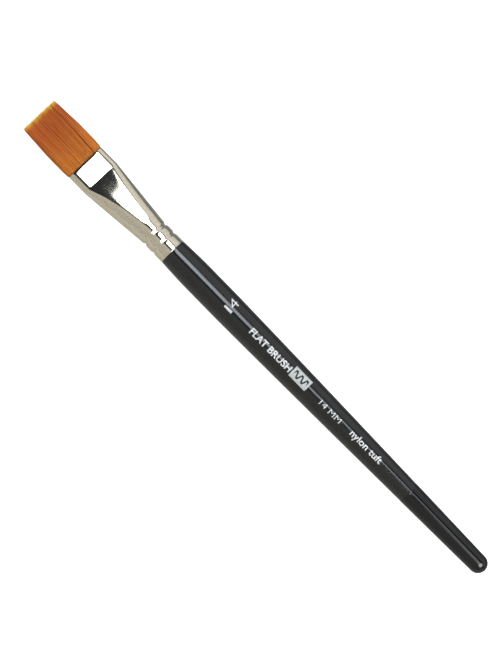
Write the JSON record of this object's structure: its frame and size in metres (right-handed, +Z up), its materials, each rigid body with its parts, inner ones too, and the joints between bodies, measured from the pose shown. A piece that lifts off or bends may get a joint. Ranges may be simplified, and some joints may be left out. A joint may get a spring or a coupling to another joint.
{
  "type": "flat artist paint brush",
  "caption": "Flat artist's brush: a tapered lacquered wooden handle, a crimped plated ferrule pressed flat at its mouth, and a tuft of golden synthetic filaments that bends and springs back.",
  "frame": {"origin": "on the surface the brush lies on, under the middle of its length and width", "axes": "+X along the brush towards the filaments' tips, +Y across its flat side, +Z up, out of the flat side that faces up"},
  "size_m": [0.2078, 0.0146, 0.0104],
  "materials": {
    "lacquered_wood": "satin black lacquer over fine-grained wood",
    "gloss_lacquer": "gloss black lacquer, dipped",
    "nickel_plate": "bright warm nickel plate over thin sheet brass",
    "filament": "golden-brown synthetic filaments with pale tapered tips",
    "cotton_thread": "waxed thread",
    "epoxy_resin": "set clear amber resin",
    "wood_glue": "set glue"
  },
  "bodies": {
    "brush_body": {"handle": "lacquered_wood", "dipped_end": "gloss_lacquer", "ferrule": "nickel_plate", "bristle_roots": "filament", "binding_thread": "cotton_thread", "root_resin": "epoxy_resin", "tenon_glue": "wood_glue"},
    "lock_1": {"bristle_lock_1": "filament"},
    "lock_2": {"bristle_lock_2": "filament"},
    "lock_3": {"bristle_lock_3": "filament"},
    "lock_4": {"bristle_lock_4": "filament"},
    "lock_5": {"bristle_lock_5": "filament"}
  },
  "joints": [
    {"name": "lock_1_bend", "type": "hinge", "parent": "brush_body", "child": "lock_1", "pos_m": [0.0828, 0, 0.00519], "axis": [0, 1, 0], "range_deg": [-40, 40], "stiffness_Nm_per_rad": 0.003},
    {"name": "lock_2_bend", "type": "hinge", "parent": "brush_body", "child": "lock_2", "pos_m": [0.0828, 0, 0.00519], "axis": [0, 1, 0], "range_deg": [-40, 40], "stiffness_Nm_per_rad": 0.003},
    {"name": "lock_3_bend", "type": "hinge", "parent": "brush_body", "child": "lock_3", "pos_m": [0.0828, 0, 0.00519], "axis": [0, 1, 0], "range_deg": [-40, 40], "stiffness_Nm_per_rad": 0.003},
    {"name": "lock_4_bend", "type": "hinge", "parent": "brush_body", "child": "lock_4", "pos_m": [0.0828, 0, 0.00519], "axis": [0, 1, 0], "range_deg": [-40, 40], "stiffness_Nm_per_rad": 0.003},
    {"name": "lock_5_bend", "type": "hinge", "parent": "brush_body", "child": "lock_5", "pos_m": [0.0828, 0, 0.00519], "axis": [0, 1, 0], "range_deg": [-40, 40], "stiffness_Nm_per_rad": 0.003}
  ]
}
